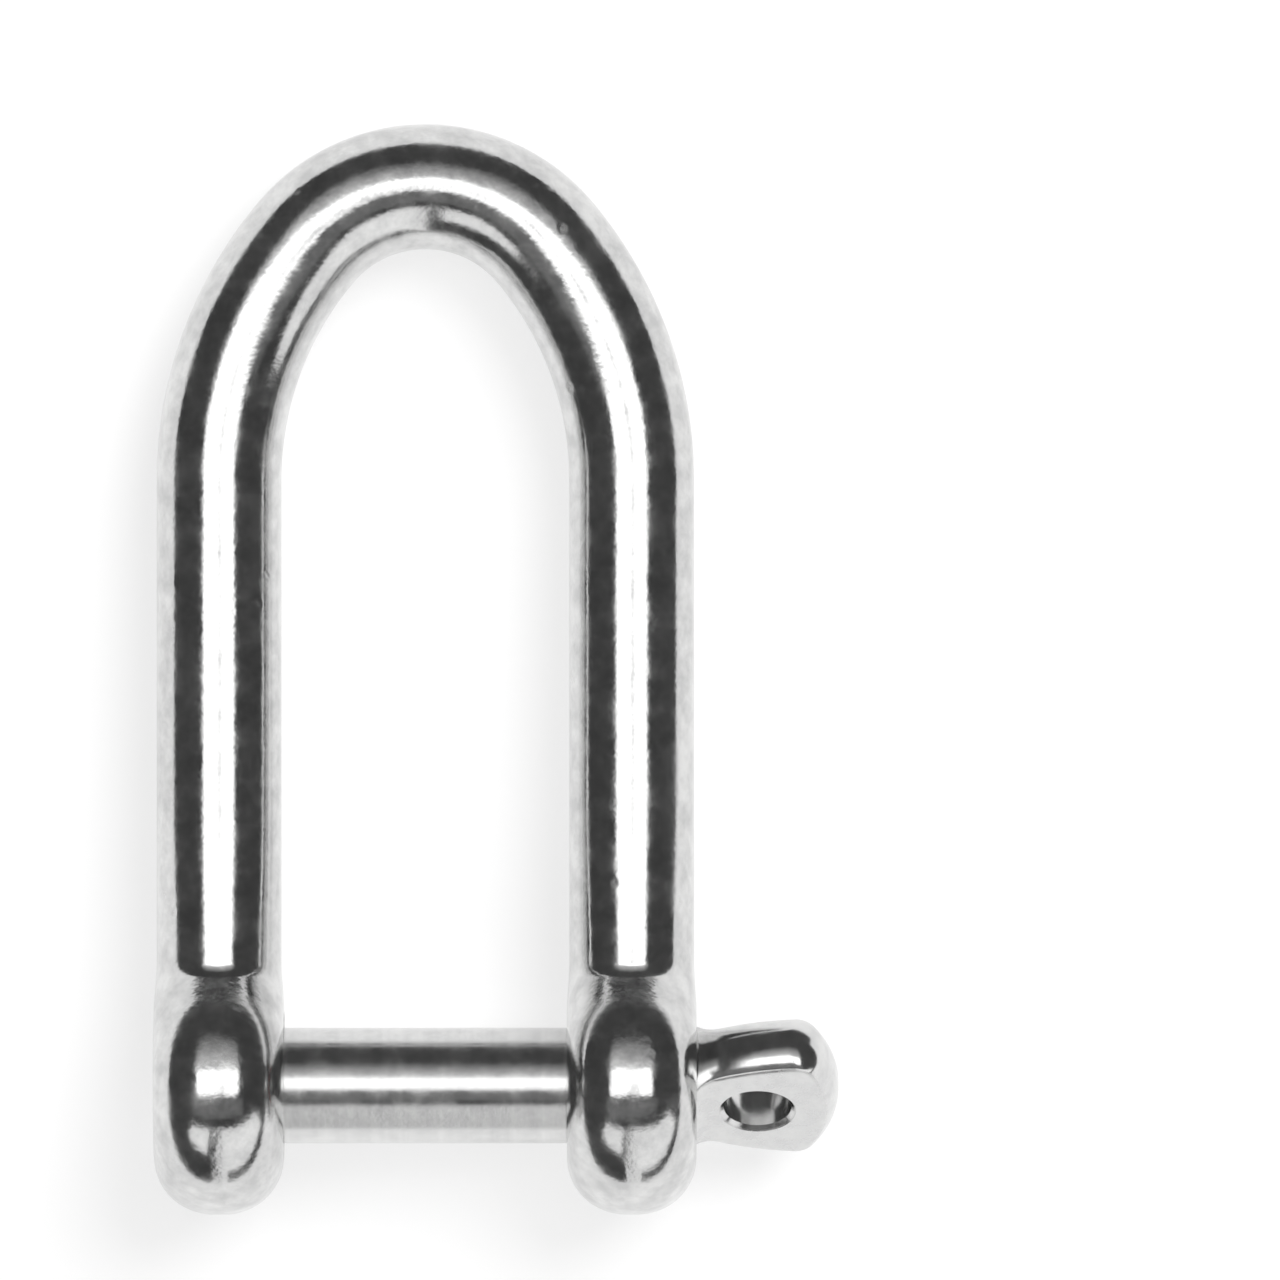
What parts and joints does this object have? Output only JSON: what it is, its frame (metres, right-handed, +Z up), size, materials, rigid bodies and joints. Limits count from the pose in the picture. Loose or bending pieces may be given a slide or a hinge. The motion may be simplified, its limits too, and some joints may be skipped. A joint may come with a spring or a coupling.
{
  "type": "dee shackle",
  "caption": "Long screw-pin dee shackle: a round-bar dee body with a plain eye and a tapped eye, a pin with a drilled flat lug, and a polymer locking ring in the pin's groove.",
  "frame": {"origin": "under the middle of the shackle's bounding box, on the surface that it lies on", "axes": "+X along the pin, towards its lug; +Y from the pin to the crown; +Z up, square to the plane of the dee"},
  "size_m": [0.0438, 0.0698, 0.0166],
  "materials": {
    "polished_stainless": "polished forging",
    "pin_stainless": "polished, turned shank",
    "ring_polymer": "glossy moulded polymer"
  },
  "bodies": {
    "bow": {"bow": "polished_stainless"},
    "locking_ring": {"locking_ring": "ring_polymer"},
    "screw_pin": {"screw_pin": "pin_stainless"}
  },
  "joints": [
    {"name": "pin_advance", "type": "slide", "parent": "bow", "child": "locking_ring", "axis": [1, 0, 0], "range_m": [0, 0.0375]},
    {"name": "pin_turn", "type": "hinge", "parent": "locking_ring", "child": "screw_pin", "pos_m": [-0.00455, -0.02662, 0.0083], "axis": [1, 0, 0], "range_deg": [0, 10800]}
  ],
  "couplings": [
    {"joint": "pin_turn", "follows": "pin_advance", "rad_per_m": 5026.5}
  ]
}
